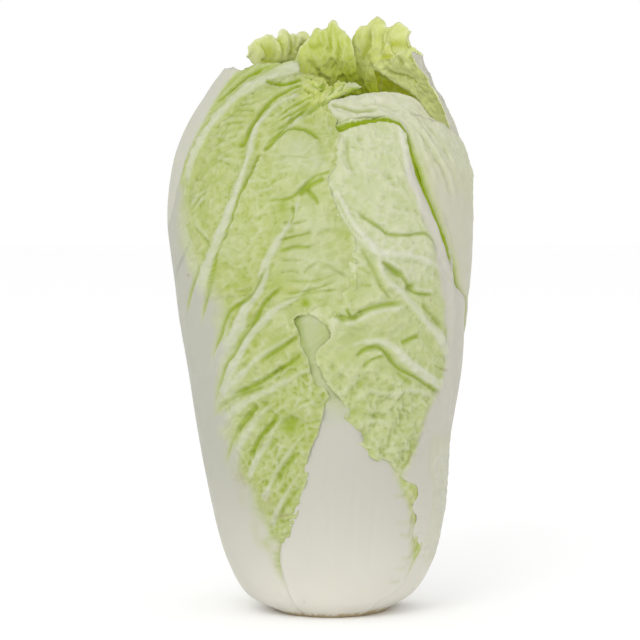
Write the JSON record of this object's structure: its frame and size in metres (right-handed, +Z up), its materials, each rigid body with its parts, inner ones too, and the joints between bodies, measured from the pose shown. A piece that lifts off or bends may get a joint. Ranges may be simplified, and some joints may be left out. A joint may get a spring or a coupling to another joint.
{
  "type": "napa cabbage head",
  "caption": "Barrel-shaped head of Chinese cabbage with wrapped, blistered leaves, broad white ribs and a frilled crest, standing on its flat-cut stem.",
  "frame": {"origin": "centre of the flat cut across the stem, on the surface that the head stands on", "axes": "+Z up from the cut to the crest, -Y to the front of the head, where the outer leaves part over the central rib, +X to its right"},
  "size_m": [0.1527, 0.1412, 0.2999],
  "materials": {
    "outer_leaf": "waxy pale green blade over a smooth white rib",
    "crest_leaf": "waxy yellow-green frilled leaf",
    "heart_leaf": "pale yellow inner leaf",
    "stem": "moist cream-white cut core"
  },
  "bodies": {
    "root": {"right_back_leaf": "outer_leaf", "right_outer_leaf": "outer_leaf", "left_front_leaf": "outer_leaf", "right_front_leaf": "outer_leaf", "left_back_leaf": "outer_leaf", "centre_front_leaf": "outer_leaf", "back_leaf": "outer_leaf", "right_crest_leaf": "crest_leaf", "left_crest_leaf": "crest_leaf", "middle_crest_leaf": "crest_leaf", "heart_leaf_1": "heart_leaf", "heart_leaf_2": "heart_leaf", "heart_leaf_3": "heart_leaf", "heart_leaf_4": "heart_leaf", "heart_leaf_5": "heart_leaf", "heart_leaf_6": "heart_leaf", "heart_leaf_7": "heart_leaf", "heart_bud": "heart_leaf", "cut_stem": "stem"}
  },
  "joints": []
}
